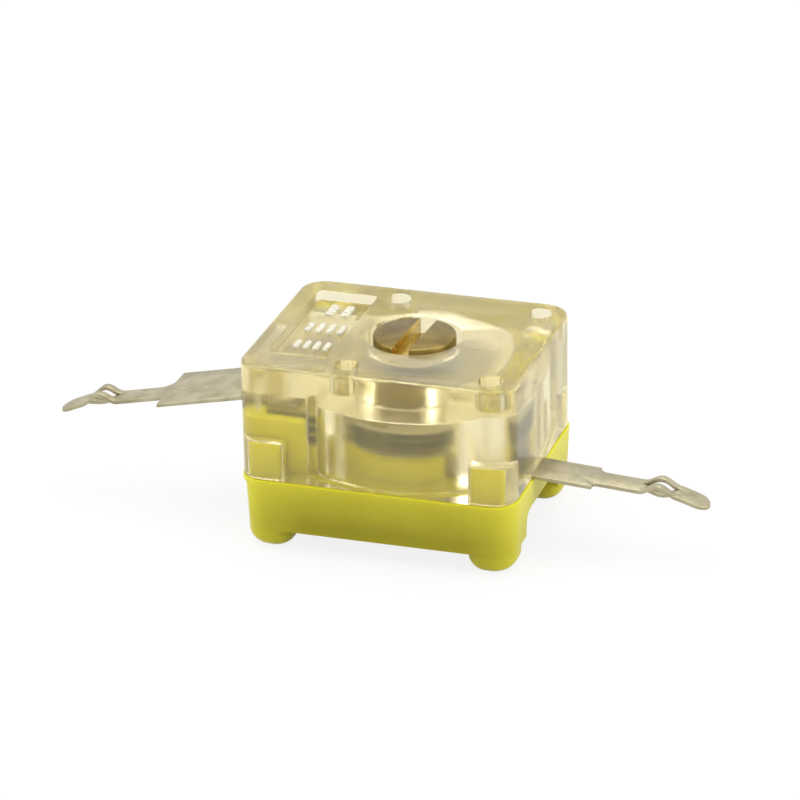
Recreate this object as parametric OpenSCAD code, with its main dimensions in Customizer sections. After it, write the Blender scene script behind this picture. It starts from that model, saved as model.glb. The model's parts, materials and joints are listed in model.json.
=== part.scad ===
// Film trimmer capacitor: a slotted brass rotor turns half-round vanes between
// fixed half-round vanes, with insulating film between them, in a moulded base
// under a clear cover.
// Origin: on the rotor axis, level with the underside of the feet.
// +X runs towards the rotor terminal, +Z points up out of the adjusting slot.

/* [Plate stack] */
// Outer radius of the rotor and stator vanes
vane_r = 2.95; // [2.4:0.05:3.4]
// Thickness of each vane
vane_t = 0.12; // [0.1:0.01:0.2]
// Thickness of each insulating film
film_t = 0.04; // [0.03:0.01:0.08]
// Free gap on each side of a film
film_play = 0.015; // [0.01:0.005:0.03]
// How far each film stands out past the vanes
film_lap = 0.35; // [0.2:0.05:0.6]
// Number of rotor vanes; the stator has one more
rotor_count = 3; // [3:1:3]
// Radial gap between a rotor hub and the hole of a film
film_hole_gap = 0.1; // [0.05:0.01:0.15]
// Radial gap between a rotor hub and the hole of a stator vane
stator_hole_gap = 0.3; // [0.2:0.05:0.5]
// Gap between the axis plane and the straight edge of each vane
vane_edge_gap = 0.1; // [0:0.05:0.4]

/* [Rotor] */
// Radius of the slotted head
head_r = 1.59; // [1.3:0.01:1.9]
// Height of the head above the cover
head_rise = 0.08; // [0:0.02:0.6]
// Width of the adjusting slot
slot_w = 0.68; // [0.4:0.02:0.9]
// Depth of the adjusting slot
slot_depth = 0.65; // [0.3:0.05:1]
// Angle of the slot from the front-to-back line, with the vanes to the front
slot_turn = -3.6; // [-180:0.2:180]
// Radius of the hubs and spacers that carry the rotor vanes
hub_r = 1.05; // [0.95:0.01:1.25]
// Radius of the bearing journal
journal_r = 0.75; // [0.6:0.01:0.85]
// Width across the two flats that key the rotor vanes
key_w = 1.1; // [0.8:0.02:1.15]
// Radius of the flange above the plate stack
flange_r = 1.28; // [1.1:0.01:1.3]
// Thickness of that flange
flange_t = 0.16; // [0.1:0.02:0.25]
// Height of the narrow neck between the flange and the head
neck_h = 0.14; // [0.08:0.02:0.3]
// Radial running clearance of the journal in its bore
journal_gap = 0.03; // [0.015:0.005:0.06]
// Radius of the spun-over end below the base
spun_r = 0.98; // [0.9:0.02:1.2]
// Height of the spun-over end
spun_h = 0.22; // [0.1:0.02:0.3]
// Radius of the washer under the base
end_washer_r = 1.3; // [1.1:0.05:1.4]
// Thickness of the washer under the base
end_washer_t = 0.16; // [0.1:0.02:0.2]
// Thickness of the washer under the lowest rotor vane
thrust_t = 0.3; // [0.2:0.02:0.4]
// Axial clearance between turning and fixed faces
axial_gap = 0.03; // [0.01:0.01:0.06]

/* [Stator] */
// Radius of the two pins that hold the stator vanes
pin_r = 0.3; // [0.2:0.02:0.35]
// Outer radius of the spacers on those pins
spacer_r = 0.48; // [0.42:0.02:0.55]
// Distance of the pins from the rotor axis along X
pin_x = 4.38; // [4.1:0.02:4.4]
// Distance of each pin from the middle plane
pin_y = 1.75; // [1.6:0.05:1.85]
// Radius of the riveted pin heads
pin_head_r = 0.52; // [0.4:0.02:0.54]
// Height of the riveted pin heads
pin_head_h = 0.3; // [0.1:0.05:0.35]
// Half width of the stator vane tabs
tab_half_w = 2.35; // [2.2:0.05:2.4]
// Reach of the stator vane tabs past the pins
tab_reach = 0.6; // [0.5:0.02:0.62]

/* [Cover] */
// Height of the clear cover
cover_h = 4.7; // [4.5:0.1:6]
// Radius of the vertical corners
corner_r = 1.0; // [0.6:0.1:1.2]
// Thickness of the roof over the plate chamber
roof_t = 1.85; // [1.5:0.05:1.95]
// Thickness of the roof over the bay of the stator pins
bay_roof_t = 1.5; // [1.2:0.05:1.6]
// Radial gap between the films and the chamber wall
chamber_gap = 0.5; // [0.3:0.05:0.8]
// Wall outside the chamber at the front and back
wall_y = 0.6; // [0.5:0.05:1.2]
// Wall outside the chamber on the rotor terminal side
wall_right = 1.25; // [1.1:0.05:2]
// Length of the bay outside the chamber on the stator terminal side
bay_l = 1.95; // [1.9:0.05:2.6]
// Wall at the end of that bay
bay_wall = 0.35; // [0.25:0.05:0.38]
// Radial gap around the head in the roof
head_gap = 0.25; // [0.1:0.01:0.3]
// Radius of the four round pits in the roof
pit_r = 0.48; // [0.3:0.02:0.6]
// Depth of the pits
pit_depth = 1.0; // [0.4:0.1:1.1]
// Distance of the pits from the nearest walls
pit_inset = 1.07; // [0.95:0.01:1.15]
// Spacing of the pits along X
pit_pitch = 5.65; // [5.2:0.05:6]
// Width of the marking recess along X
recess_w = 2.4; // [2:0.1:2.5]
// Length of the marking recess along Y
recess_l = 6.1; // [4:0.1:6.4]
// Depth of the marking recess
recess_depth = 0.4; // [0.1:0.05:0.6]
// Distance of the marking recess from the left wall
recess_inset_x = 0.83; // [0.6:0.01:0.9]
// Distance of the marking recess from the back wall
recess_inset_y = 1.1; // [0.9:0.05:1.3]
// Radius of the round gate mark inside the roof
gate_r = 0.65; // [0.4:0.05:0.8]
// Depth of the gate mark
gate_depth = 0.12; // [0.05:0.01:0.2]
// Distance of the gate mark from the rotor axis
gate_offset = 2.6; // [2.55:0.05:2.9]

/* [Base] */
// Height of the base between its underside and the parting line
base_h = 2.1; // [1.8:0.05:3]
// Height of the feet below that underside
foot_h = 0.8; // [0.7:0.05:1.2]
// Width of each foot along X
foot_w = 1.9; // [1.8:0.05:2.2]
// Length of each foot along Y
foot_l = 2.05; // [1.8:0.05:2.6]
// Radius of the vertical corners of the feet away from the body's corners
foot_r = 0.8; // [0.7:0.05:0.85]
// Rounding of the lower edges of the feet
foot_round = 0.65; // [0.2:0.05:0.7]
// How far the rim at the top of the base stands proud of the cover
rim_proud = 0.03; // [0.01:0.01:0.08]
// Height of that rim
rim_h = 0.25; // [0.1:0.05:0.5]
// Offset of the base below the rim, towards the rotor terminal
base_shift = 0.06; // [0:0.02:0.12]
// Draft of the base walls between the rim and the underside
base_draft = 0.08; // [0:0.02:0.2]
// Height of the tunnel across the underside
tunnel_h = 1.05; // [0.5:0.05:1.15]
// Radius of the upper edges of that tunnel
tunnel_r = 0.4; // [0.1:0.05:0.45]
// Height of the platform that carries the plates
platform_h = 1.1; // [0.8:0.05:1.15]
// Distance of the platform edge past the vanes
platform_lap = 0.05; // [0:0.05:0.3]
// Rounding of the upper edge of the platform
platform_round = 0.4; // [0.1:0.05:0.5]
// Width of each corner post along X
post_w = 1.3; // [1:0.05:1.35]
// Length of each corner post along Y
post_l = 0.9; // [0.6:0.05:0.9]
// Height of each corner post
post_h = 1.45; // [0.8:0.05:1.8]
// Wall of the cover outside each corner post
post_wall = 0.38; // [0.3:0.02:0.4]
// Height of the wall that surrounds the stator pins
tower_h = 2.15; // [1.8:0.05:2.2]
// Thickness of that wall
tower_t = 0.45; // [0.35:0.05:0.45]
// Free gap between base features and their pockets in the cover
fit_gap = 0.05; // [0.03:0.01:0.06]
// Free gap between metal pieces and the plastic around them
metal_gap = 0.1; // [0.05:0.01:0.1]

/* [Terminals] */
// Sheet thickness of both terminals
term_t = 0.15; // [0.1:0.01:0.2]
// Width of the solder tongues
tongue_w = 1.05; // [0.9:0.05:1.2]
// Distance of both tongues in front of the rotor axis
tongue_front = 0.7; // [0.5:0.05:0.75]
// Width of the wide part of the stator terminal
stator_term_w = 3.1; // [2.8:0.1:3.4]
// Distance of that wide part in front of the rotor axis
stator_term_front = 0.38; // [0.2:0.02:0.5]
// Distance from the rotor axis to the stator terminal's shoulders
stator_shoulder_x = 9.88; // [8:0.05:11]
// Length of the stator terminal's tongue
stator_tongue_l = 4.4; // [3.8:0.05:5]
// Drop per unit length of the stator terminal outside the cover
stator_slope = 0.21; // [0.1:0.01:0.25]
// Rise of the outer legs of the kink in the stator terminal's tongue
stator_kink = 0.36; // [0.2:0.02:0.4]
// Sag of the middle leg of that kink
stator_sag = 0.08; // [0.02:0.02:0.3]
// Extra drop per unit length of the tip beyond that kink
stator_tip_slope = 0.22; // [0:0.02:0.5]
// Plain length beyond the kink of the stator terminal
stator_tip_l = 0.95; // [0.6:0.05:1.2]
// Width of the rotor terminal's strip
rotor_term_w = 1.7; // [1.4:0.05:1.75]
// Distance from the rotor axis to the rotor terminal's shoulders
rotor_shoulder_x = 7.35; // [6:0.05:9]
// Length of the rotor terminal's tongue
rotor_tongue_l = 4.4; // [4:0.05:5.5]
// Drop per unit length of the rotor terminal outside the cover
rotor_slope = 0.065; // [0:0.005:0.12]
// Rise of the outer legs of the kink in the rotor terminal's tongue
rotor_kink = 0.3; // [0.16:0.02:0.4]
// Sag of the middle leg of that kink
rotor_sag = 0.16; // [0.02:0.02:0.3]
// Extra drop per unit length of the tip beyond that kink
rotor_tip_slope = 0.26; // [0:0.02:0.4]
// Plain length beyond the kink of the rotor terminal
rotor_tip_l = 1.15; // [0.8:0.05:1.4]
// Radius of the contact ring round the journal
ring_r = 1.45; // [1.3:0.05:1.5]
// Length of each kink
kink_l = 1.5; // [1.2:0.1:1.8]
// Width of the two slits between the legs of a kink
slit_w = 0.04; // [0.02:0.01:0.06]
// Radius of the fillets at the front shoulders
shoulder_r = 0.15; // [0.05:0.05:0.3]
// Radius of the fillet at the back shoulder of the stator terminal
stator_fillet = 0.55; // [0.1:0.05:0.6]
// Radius of the fillet at the back shoulder of the rotor terminal
rotor_fillet = 0.3; // [0.1:0.05:0.3]
// Sheet thickness of the contact spring
spring_t = 0.1; // [0.06:0.01:0.14]

/* [Hidden] */
$fn = 64;

// Overrun of a cut past the face that it opens
cut = 0.5;

// Levels
z_under = foot_h;                              // underside of the base
z_part = foot_h + base_h;                      // parting line, base to cover
z_top = z_part + cover_h;                      // top face of the cover
z_roof = z_top - roof_t;                       // ceiling of the plate chamber
z_bay_roof = z_top - bay_roof_t;               // ceiling of the bay beside it
z_tunnel = z_under + tunnel_h;                 // ceiling of the tunnel
z_stack = z_part + platform_h;                 // underside of the lowest vane
pitch = vane_t + film_t + 2 * film_play;       // from one vane to the next
stack_h = 2 * rotor_count * pitch + vane_t;    // height of the whole stack
z_stack_top = z_stack + stack_h;               // top of the highest stator vane
z_first_rotor = z_stack + pitch;               // underside of the lowest rotor vane
z_last_rotor = z_stack + (2 * rotor_count - 1) * pitch + vane_t;
z_tower = z_part + tower_h;                    // top of the wall round the pins
z_head = z_top + head_rise;                    // top of the slotted head
z_flange = z_stack_top + axial_gap * 2;        // underside of the flange
z_head_low = z_flange + flange_t + neck_h;     // underside of the head
z_thrust = z_first_rotor - thrust_t;           // underside of the thrust washer
z_end = z_tunnel - axial_gap - end_washer_t;   // underside of the end washer

// Plan sizes
film_r = vane_r + film_lap;
chamber_r = film_r + chamber_gap;
x_right = chamber_r + wall_right;
x_left = -chamber_r - bay_l;
y_back = chamber_r + wall_y;
y_front = -y_back;
body_w = x_right - x_left;
body_d = y_back - y_front;
body_x = (x_left + x_right) / 2;
hole_r = head_r + head_gap;
bore_r = journal_r + journal_gap;
tunnel_w = body_d - 2 * (base_draft + foot_l);
platform_r = vane_r + platform_lap;
pin_hole_r = pin_r + 0.01;                     // snug fit of a vane on its pin
key_fit = 0.01;                                // snug fit of a vane on the flats

// Bay: inner face of the cover's end wall, and the tower that stands in the bay
x_bay = x_left + bay_wall;
x_tower = x_bay + fit_gap;
tower_y_in = tab_half_w + metal_gap;
tower_y_out = tower_y_in + tower_t;
x_tab = -pin_x - tab_reach;                    // left edge of the stator vane tabs
x_tower_in = x_tab - fit_gap;                  // inner face of the tower's end wall
x_tower_end = -film_r + metal_gap;             // right end of its front and back walls
bay_y = tower_y_out + fit_gap;                 // half width of the bay
x_bay_end = x_tower_end + fit_gap;             // where the bay narrows to its neck
x_neck_end = -sqrt(pow(chamber_r, 2) - pow(tower_y_in, 2));  // neck into the chamber

// Posts: centre lines, measured in from the walls
post_x_in = post_wall + fit_gap + post_w / 2;
post_y_in = post_wall + fit_gap + post_l / 2;

// Terminals: where each leaves the cover, and its inner level
stator_y = -stator_term_front;
tongue_y = -tongue_front;
x_stator_bend = x_tab - metal_gap;
x_rotor_bend = x_right + metal_gap;

// Flat rounded rectangle made of true arcs, centred on the origin
module rounded_rect(w, d, r) {
    square([w - 2 * r, d], center = true);
    square([w, d - 2 * r], center = true);
    for (sx = [-1, 1], sy = [-1, 1])
        translate([sx * (w / 2 - r), sy * (d / 2 - r)]) circle(r);
}

// Upright cylinder between two levels
module rod(r, z0, z1) {
    translate([0, 0, z0]) cylinder(r = r, h = z1 - z0);
}

// Box between two corners
module box(low, high) {
    translate(low) cube(high - low);
}

// The four corner places of the posts, or of their pockets
module at_corners(in_x, in_y) {
    for (x = [x_left + in_x, x_right - in_x], y = [y_front + in_y, y_back - in_y])
        translate([x, y, 0]) children();
}

// Outline that keys a vane to the rotor: a round with two flats
module key_outline(gap) {
    intersection() {
        circle(journal_r + gap);
        square([key_w + 2 * gap, 4 * journal_r], center = true);
    }
}

// ---- base -------------------------------------------------------------

// Upright round column from the feet plane, with its lower edge rounded
module column(r) {
    rotate_extrude($fn = 32) {
        intersection() {
            translate([r - foot_round, foot_round]) circle(foot_round, $fn = 24);
            square([r, foot_round]);
        }
        translate([0, foot_round]) square([r, z_tunnel - foot_round]);
    }
}

// Foot with rounded lower edges, its outer corner at the origin, running +X, +Y
module foot() {
    hull() {
        translate([corner_r, corner_r, 0]) column(corner_r);
        translate([foot_w - foot_r, foot_r, 0]) column(foot_r);
        translate([foot_r, foot_l - foot_r, 0]) column(foot_r);
        translate([foot_w - foot_r, foot_l - foot_r, 0]) column(foot_r);
    }
}

// Block of the base, its walls leaning in towards the underside
module drafted_block() {
    hull()
        for (sx = [-1, 1], sy = [-1, 1]) {
            translate([sx * (body_w / 2 - corner_r), sy * (body_d / 2 - corner_r), z_part - rim_h])
                cylinder(r = corner_r, h = rim_h, $fn = 48);
            translate([sx * (body_w / 2 - corner_r), sy * (body_d / 2 - corner_r), z_under])
                cylinder(r = corner_r - base_draft, h = rim_h, $fn = 48);
        }
}

// Round platform under the plates, its upper edge rounded
module platform() {
    r_flat = platform_r - platform_round;
    translate([0, 0, z_part])
        rotate_extrude() {
            square([platform_r, platform_h - platform_round]);
            square([r_flat, platform_h]);
            translate([r_flat, platform_h - platform_round]) circle(platform_round);
        }
}

// Wall that closes the bay round the stator pins, under the stator terminal
module tower() {
    for (s = [-1, 1])
        box([x_tower, min(s * tower_y_in, s * tower_y_out), z_part],
            [x_tower_end, max(s * tower_y_in, s * tower_y_out), z_tower]);
    box([x_tower, -tower_y_out, z_part], [x_tower_in, tower_y_out, z_tower]);
    // Tongue that fills the window of the cover below the terminal
    box([x_left + fit_gap, stator_y - stator_term_w / 2, z_part],
        [x_tower_in, stator_y + stator_term_w / 2, z_tower]);
    // Floor under the stator vane tabs
    box([x_tower, -tower_y_out, z_part], [x_tower_end, tower_y_out, z_stack]);
    box([x_tower, -tab_half_w, z_part], [-vane_r / 2, tab_half_w, z_stack]);
}

module base() {
    color([0.75, 0.72, 0.18])
    difference() {
        union() {
            translate([body_x + base_shift, 0, 0]) drafted_block();
            translate([body_x, 0, z_part - rim_h])
                linear_extrude(rim_h)
                rounded_rect(body_w + 2 * rim_proud, body_d + 2 * rim_proud, corner_r);
            for (sx = [0, 1], sy = [0, 1])
                translate([body_x + base_shift, 0, 0]) mirror([sx, 0, 0]) mirror([0, sy, 0])
                translate([base_draft - body_w / 2, base_draft - body_d / 2, 0]) foot();
            platform();
            tower();
            at_corners(post_x_in, post_y_in)
                box([-post_w / 2, -post_l / 2, z_part],
                    [post_w / 2, post_l / 2, z_part + post_h]);
        }
        // Bearing bore
        rod(bore_r, 0, z_top);
        // Pocket for the contact ring and its spring, and the channel of the strip
        rod(ring_r + metal_gap, z_part, z_stack + cut);
        box([0, tongue_y - rotor_term_w / 2 - metal_gap, z_part],
            [platform_r + cut, tongue_y + rotor_term_w / 2 + metal_gap, z_stack + cut]);
        // Tunnel across the underside, between the feet
        translate([x_left - cut, 0, z_under]) rotate([90, 0, 90])
            linear_extrude(body_w + 2 * cut) rounded_rect(tunnel_w, 2 * tunnel_h, tunnel_r);
    }
}

// ---- cover ------------------------------------------------------------

module cover() {
    color([0.93, 0.9, 0.72, 0.45])
    difference() {
        translate([body_x, 0, z_part])
            linear_extrude(cover_h) rounded_rect(body_w, body_d, corner_r);
        // Plate chamber, the bay beside it with its neck, and the hole for the head
        rod(chamber_r, z_part - cut, z_roof);
        box([x_bay, -bay_y, z_part - cut], [x_bay_end, bay_y, z_bay_roof]);
        box([x_tower, -tower_y_in, z_part - cut], [x_neck_end, tower_y_in, z_bay_roof]);
        rod(hole_r, z_roof - cut, z_top + cut);
        // Pockets over the posts
        at_corners(post_x_in, post_y_in)
            box([-post_w / 2 - fit_gap, -post_l / 2 - fit_gap, z_part - cut],
                [post_w / 2 + fit_gap, post_l / 2 + fit_gap, z_part + post_h + fit_gap]);
        // Window of the stator terminal, notch of the rotor terminal
        box([x_left - cut, stator_y - stator_term_w / 2 - fit_gap, z_part - cut],
            [x_bay + cut, stator_y + stator_term_w / 2 + fit_gap, z_stack_top + term_t + fit_gap]);
        box([0, tongue_y - rotor_term_w / 2 - fit_gap, z_part - cut],
            [x_right + cut, tongue_y + rotor_term_w / 2 + fit_gap, z_part + term_t + fit_gap]);
        // Marking recess and the four pits in the roof
        box([x_left + recess_inset_x, y_back - recess_inset_y - recess_l, z_top - recess_depth],
            [x_left + recess_inset_x + recess_w, y_back - recess_inset_y, z_top + cut]);
        for (x = [x_right - pit_inset, x_right - pit_inset - pit_pitch], s = [-1, 1])
            translate([x, s * (y_back - pit_inset), 0])
                rod(pit_r, z_top - pit_depth, z_top + cut);
        // Gate mark in the ceiling of the chamber
        rotate(25) translate([gate_offset, 0, 0]) rod(gate_r, z_roof - cut, z_roof + gate_depth);
    }
}

// ---- rotor ------------------------------------------------------------

module rotor_spindle() {
    color([0.72, 0.6, 0.3])
    difference() {
        union() {
            rod(head_r, z_head_low, z_head);
            rod(hub_r, z_flange + flange_t, z_head_low);
            rod(flange_r, z_flange, z_flange + flange_t);
            rod(hub_r, z_last_rotor, z_flange);
            // Shank with two flats, inside the vanes and washers
            translate([0, 0, z_thrust])
                linear_extrude(z_last_rotor - z_thrust) key_outline(0);
            rod(journal_r, z_end, z_thrust);
            rod(spun_r, z_end - spun_h, z_end);
        }
        rotate([0, 0, slot_turn])
            box([-slot_w / 2, -2 * head_r, z_head - slot_depth],
                [slot_w / 2, 2 * head_r, z_head + cut]);
    }
}

// Half-round vane with a full hub, facing the front
module rotor_vane(i) {
    color([0.72, 0.72, 0.7])
    translate([0, 0, z_first_rotor + (i - 1) * 2 * pitch])
        linear_extrude(vane_t)
        difference() {
            union() {
                intersection() {
                    circle(vane_r);
                    translate([-vane_r, -vane_r - vane_edge_gap]) square([2 * vane_r, vane_r]);
                }
                circle(hub_r);
            }
            key_outline(key_fit);
        }
}

module rotor_spacer(i) {
    color([0.75, 0.65, 0.35])
    translate([0, 0, z_first_rotor + (i - 1) * 2 * pitch + vane_t])
        linear_extrude(2 * pitch - vane_t)
        difference() {
            circle(hub_r);
            key_outline(key_fit);
        }
}

module thrust_washer() {
    color([0.75, 0.65, 0.35])
    translate([0, 0, z_thrust])
        linear_extrude(thrust_t)
        difference() {
            circle(hub_r);
            key_outline(key_fit);
        }
}

module end_washer() {
    color([0.7, 0.7, 0.7])
    difference() {
        rod(end_washer_r, z_end, z_end + end_washer_t);
        rod(journal_r, z_end - cut, z_end + end_washer_t + cut);
    }
}

// ---- stator -----------------------------------------------------------

// Both pin places, or one of them: side is -1 at the front, 1 at the back
module at_pin(side) {
    translate([-pin_x, side * pin_y, 0]) children();
}

module stator_vane(i) {
    color([0.68, 0.68, 0.66])
    translate([0, 0, z_stack + (i - 1) * 2 * pitch])
        linear_extrude(vane_t)
        difference() {
            union() {
                intersection() {
                    circle(vane_r);
                    translate([-vane_r - vane_edge_gap, -vane_r]) square([vane_r, 2 * vane_r]);
                }
                translate([x_tab, -tab_half_w])
                    square([-vane_r * 0.6 - x_tab, 2 * tab_half_w]);
            }
            circle(hub_r + stator_hole_gap);
            for (s = [-1, 1]) translate([-pin_x, s * pin_y]) circle(pin_hole_r);
        }
}

module stator_spacer(side, i) {
    color([0.75, 0.65, 0.35])
    at_pin(side)
    translate([0, 0, z_stack + (i - 1) * 2 * pitch + vane_t])
        linear_extrude(2 * pitch - vane_t)
        difference() {
            circle(spacer_r);
            circle(pin_hole_r);
        }
}

module stator_pin(side) {
    color([0.8, 0.8, 0.78])
    at_pin(side) {
        rod(pin_r, z_stack, z_stack_top + term_t);
        rod(pin_head_r, z_stack_top + term_t, z_stack_top + term_t + pin_head_h);
    }
}

// ---- films ------------------------------------------------------------

// Round film whose tab reaches in between the stator spacers
module dielectric_film(i) {
    tab_w = 2 * (pin_y - spacer_r - metal_gap);
    color([0.95, 0.95, 0.9, 0.4])
    translate([0, 0, z_stack + (i - 1) * pitch + vane_t + film_play])
        linear_extrude(film_t)
        difference() {
            union() {
                circle(film_r);
                translate([-pin_x, -tab_w / 2]) square([pin_x, tab_w]);
            }
            circle(hub_r + film_hole_gap);
        }
}

// ---- terminals --------------------------------------------------------

// A terminal's height over distance s from the axis, to its upper face:
// level as far as the bend, then falling, and falling faster past the kink.
function sheet_z(s, z0, s_bend, slope, s_tip, tip_slope) =
    z0 - slope * max(0, s - s_bend) - tip_slope * max(0, s - s_tip);

// Bow of one leg of a kink, smooth at both ends
function bow(s, s0, rise) =
    s <= s0 || s >= s0 + kink_l ? 0 : rise / 2 * (1 - cos(360 * (s - s0) / kink_l));

// Upright slice of the sheet: stations in s, bowed by rise, as a closed outline
function sheet_outline(stations, z0, s_bend, slope, tip_slope, s0, rise) =
    let (top = [for (s = stations)
        [s, sheet_z(s, z0, s_bend, slope, s0 + kink_l, tip_slope) + bow(s, s0, rise)]])
    concat(top, [for (i = [len(top) - 1:-1:0]) top[i] - [0, term_t]]);

// Sheet of one width, between two values of Y
module sheet(stations, y0, y1, z0, s_bend, slope, tip_slope, s0, rise) {
    translate([0, y1, 0]) rotate([90, 0, 0])
        linear_extrude(y1 - y0)
        polygon(sheet_outline(stations, z0, s_bend, slope, tip_slope, s0, rise));
}

// Fillet in the corner between a shoulder at s and a tongue's edge at y
module fillet(s, y, side, r) {
    difference() {
        translate([s - r, side > 0 ? y : y - r]) square([2 * r, r]);
        translate([s + r, y + side * r]) circle(r);
    }
}

// Plan of a tongue with a round tip and filleted shoulders, along +X from s_a
module tongue_plan(s_a, s_end, y, back_r) {
    r = tongue_w / 2;
    translate([s_a - shoulder_r, y - r]) square([s_end - r - s_a + shoulder_r, tongue_w]);
    translate([s_end - r, y]) circle(r);
    fillet(s_a, y - r, -1, shoulder_r);
    fillet(s_a, y + r, 1, back_r);
}

// Bent sheet with a kinked tongue, drawn along +X, before its plan is cut
module bent_sheet(z0, s_bend, slope, tip_slope, s_kink, s_end, half_w, y, rise, sag) {
    s_out = s_kink + kink_l;
    leg = (tongue_w - 2 * slit_w) / 3;
    steps = [for (i = [0:14]) s_kink + kink_l * i / 14];
    sheet([0, s_bend, s_kink], y - half_w, y + half_w, z0, s_bend, slope, 0, s_kink, 0);
    sheet([s_out, s_end], y - tongue_w, y + tongue_w, z0, s_bend, slope, tip_slope, s_kink, 0);
    for (k = [-1, 1])
        sheet(steps, y + k * (leg + slit_w) - leg / 2, y + k * (leg + slit_w) + leg / 2,
              z0, s_bend, slope, 0, s_kink, rise);
    sheet(steps, y - leg / 2, y + leg / 2, z0, s_bend, slope, 0, s_kink, -sag);
}

// Stator terminal: lies on the stator pins and leaves through the cover's window
module stator_terminal() {
    s_end = stator_shoulder_x + stator_tongue_l;
    s_kink = s_end - stator_tip_l - kink_l;
    plate_w = 2 * (pin_y + pin_head_r);
    color([0.78, 0.77, 0.72])
    difference() {
        mirror([1, 0, 0])
        intersection() {
            bent_sheet(z_stack_top + term_t, -x_stator_bend, stator_slope, stator_tip_slope,
                       s_kink, s_end, plate_w, tongue_y, stator_kink, stator_sag);
            translate([0, 0, z_under])
            linear_extrude(z_top) {
                translate([pin_x - pin_head_r - shoulder_r, -plate_w / 2])
                    square([pin_head_r + tab_reach + shoulder_r, plate_w]);
                translate([pin_x, stator_y - stator_term_w / 2])
                    square([stator_shoulder_x - pin_x, stator_term_w]);
                tongue_plan(stator_shoulder_x, s_end, tongue_y, stator_fillet);
            }
        }
        for (s = [-1, 1]) at_pin(s) rod(pin_hole_r, z_stack, z_top);
    }
}

// Rotor terminal: a ring round the journal, and a strip out under the cover
module rotor_terminal() {
    s_end = rotor_shoulder_x + rotor_tongue_l;
    s_kink = s_end - rotor_tip_l - kink_l;
    color([0.78, 0.77, 0.72])
    difference() {
        union() {
            intersection() {
                bent_sheet(z_part + term_t, x_rotor_bend, rotor_slope, rotor_tip_slope,
                           s_kink, s_end, rotor_term_w, tongue_y, rotor_kink, rotor_sag);
                translate([0, 0, -z_top])
                linear_extrude(2 * z_top) {
                    translate([ring_r / 2, tongue_y - rotor_term_w / 2])
                        square([rotor_shoulder_x - ring_r / 2, rotor_term_w]);
                    tongue_plan(rotor_shoulder_x, s_end, tongue_y, rotor_fillet);
                }
            }
            rod(ring_r, z_part, z_part + term_t);
        }
        rod(bore_r + metal_gap / 2, 0, z_top);
    }
}

// Dished spring that presses the contact ring and lifts the thrust washer
module contact_spring() {
    r_in = journal_r + metal_gap;
    r_out = ring_r - metal_gap / 2;
    z_low = z_part + term_t;
    z_high = z_thrust - axial_gap / 2;
    color([0.8, 0.7, 0.45])
    rotate_extrude()
        polygon([[r_out, z_low], [r_in, z_high - spring_t], [r_in, z_high],
                 [r_in + spring_t, z_high], [r_out, z_low + spring_t]]);
}

base();
cover();
rotor_spindle();
rotor_vane(1);  // rotor_vane_1
rotor_vane(2);  // rotor_vane_2
rotor_vane(3);  // rotor_vane_3
rotor_spacer(1);  // rotor_spacer_1
rotor_spacer(2);  // rotor_spacer_2
thrust_washer();
end_washer();
stator_vane(1);  // stator_vane_1
stator_vane(2);  // stator_vane_2
stator_vane(3);  // stator_vane_3
stator_vane(4);  // stator_vane_4
stator_spacer(-1, 1);  // stator_spacer_front_1
stator_spacer(-1, 2);  // stator_spacer_front_2
stator_spacer(-1, 3);  // stator_spacer_front_3
stator_spacer(1, 1);  // stator_spacer_back_1
stator_spacer(1, 2);  // stator_spacer_back_2
stator_spacer(1, 3);  // stator_spacer_back_3
stator_pin(-1);  // stator_pin_front
stator_pin(1);  // stator_pin_back
dielectric_film(1);  // dielectric_film_1
dielectric_film(2);  // dielectric_film_2
dielectric_film(3);  // dielectric_film_3
dielectric_film(4);  // dielectric_film_4
dielectric_film(5);  // dielectric_film_5
dielectric_film(6);  // dielectric_film_6
stator_terminal();
rotor_terminal();
contact_spring();
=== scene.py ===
"""A film trimmer capacitor: yellow base, clear cover, slotted brass rotor, two tinned tags."""
import json
import math

import bmesh
import bpy
from mathutils import Matrix, Vector


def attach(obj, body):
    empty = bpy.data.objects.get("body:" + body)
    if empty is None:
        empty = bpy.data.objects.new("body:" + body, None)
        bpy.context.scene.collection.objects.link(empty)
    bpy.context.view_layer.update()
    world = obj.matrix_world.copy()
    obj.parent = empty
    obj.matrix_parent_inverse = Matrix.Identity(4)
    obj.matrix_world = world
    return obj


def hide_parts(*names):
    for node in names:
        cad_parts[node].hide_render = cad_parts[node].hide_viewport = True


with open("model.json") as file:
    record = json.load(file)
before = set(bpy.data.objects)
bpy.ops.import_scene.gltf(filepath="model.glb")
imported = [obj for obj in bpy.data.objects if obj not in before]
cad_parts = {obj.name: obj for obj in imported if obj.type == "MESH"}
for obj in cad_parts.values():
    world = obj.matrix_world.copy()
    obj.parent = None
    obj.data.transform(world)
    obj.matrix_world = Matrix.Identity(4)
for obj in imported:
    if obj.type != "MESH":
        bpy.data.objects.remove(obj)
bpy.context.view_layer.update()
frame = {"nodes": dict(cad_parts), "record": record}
MM = 0.001

# ---- sizes, in mm ------------------------------------------------------------
# +X runs towards the rotor tag, and +Z up out of the adjusting slot

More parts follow.
